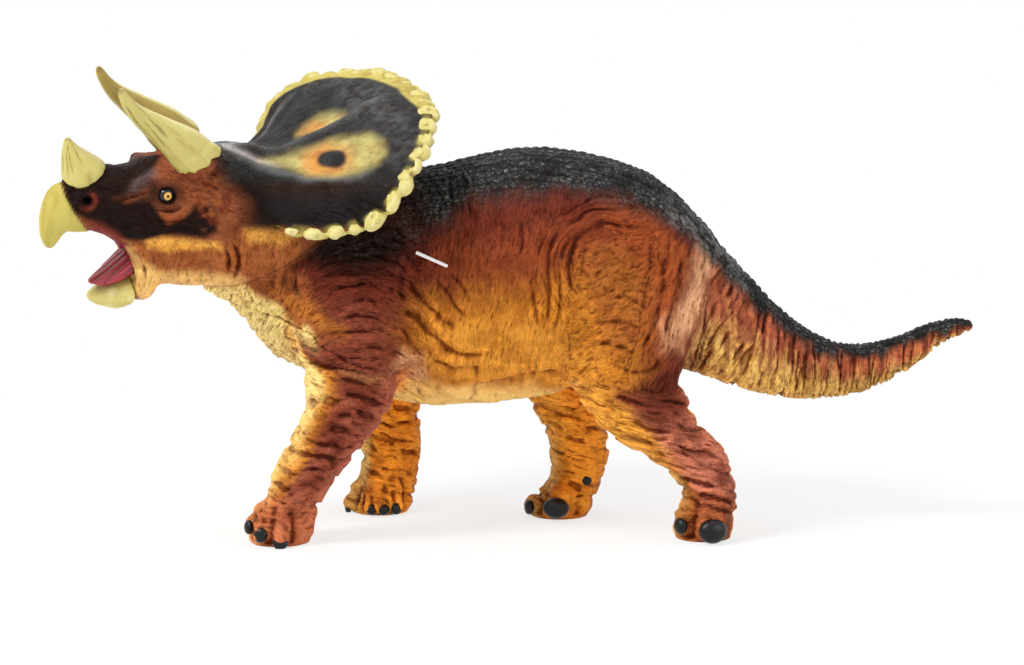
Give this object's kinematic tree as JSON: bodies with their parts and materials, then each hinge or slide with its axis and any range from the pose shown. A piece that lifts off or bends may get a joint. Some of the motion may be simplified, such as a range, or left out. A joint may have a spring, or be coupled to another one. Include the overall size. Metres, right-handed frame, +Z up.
{
  "type": "toy dinosaur figure",
  "caption": "Horned dinosaur toy of glued soft vinyl castings, standing in a walking pose with its mouth open, a tag fastener through its flank.",
  "frame": {"origin": "on the ground, at the middle of the bounding box", "axes": "+Z up, -X towards the beak, +X towards the tail, -Y the figure's left side"},
  "size_m": [0.2832, 0.092, 0.1445],
  "materials": {
    "body_shell": "painted soft vinyl, satin",
    "belly_shell": "painted soft vinyl, satin",
    "head_shell": "painted soft vinyl, satin",
    "lower_jaw": "painted soft vinyl, satin",
    "tongue": "painted soft vinyl, satin",
    "brow_horn_left": "painted soft vinyl, satin",
    "brow_horn_right": "painted soft vinyl, satin",
    "nose_horn": "painted soft vinyl, satin",
    "foreleg_left": "painted soft vinyl, satin",
    "foreleg_right": "painted soft vinyl, satin",
    "hindleg_left": "painted soft vinyl, satin",
    "hindleg_right": "painted soft vinyl, satin",
    "tail": "painted soft vinyl, satin",
    "fibre_filling": "loose white fibre",
    "tag_pin": "white nylon"
  },
  "bodies": {
    "figure": {"body_shell": "body_shell", "belly_shell": "belly_shell", "head_shell": "head_shell", "lower_jaw": "lower_jaw", "tongue": "tongue", "brow_horn_left": "brow_horn_left", "brow_horn_right": "brow_horn_right", "nose_horn": "nose_horn", "foreleg_left": "foreleg_left", "foreleg_right": "foreleg_right", "hindleg_left": "hindleg_left", "hindleg_right": "hindleg_right", "tail": "tail", "fibre_filling": "fibre_filling"},
    "tag": {"tag_pin": "tag_pin"}
  },
  "joints": [
    {"name": "tag_pin_turn", "type": "hinge", "parent": "figure", "child": "tag", "pos_m": [-0.02568, -0.02912, 0.08708], "axis": [0, -0.9613, 0.2756], "continuous": true}
  ]
}
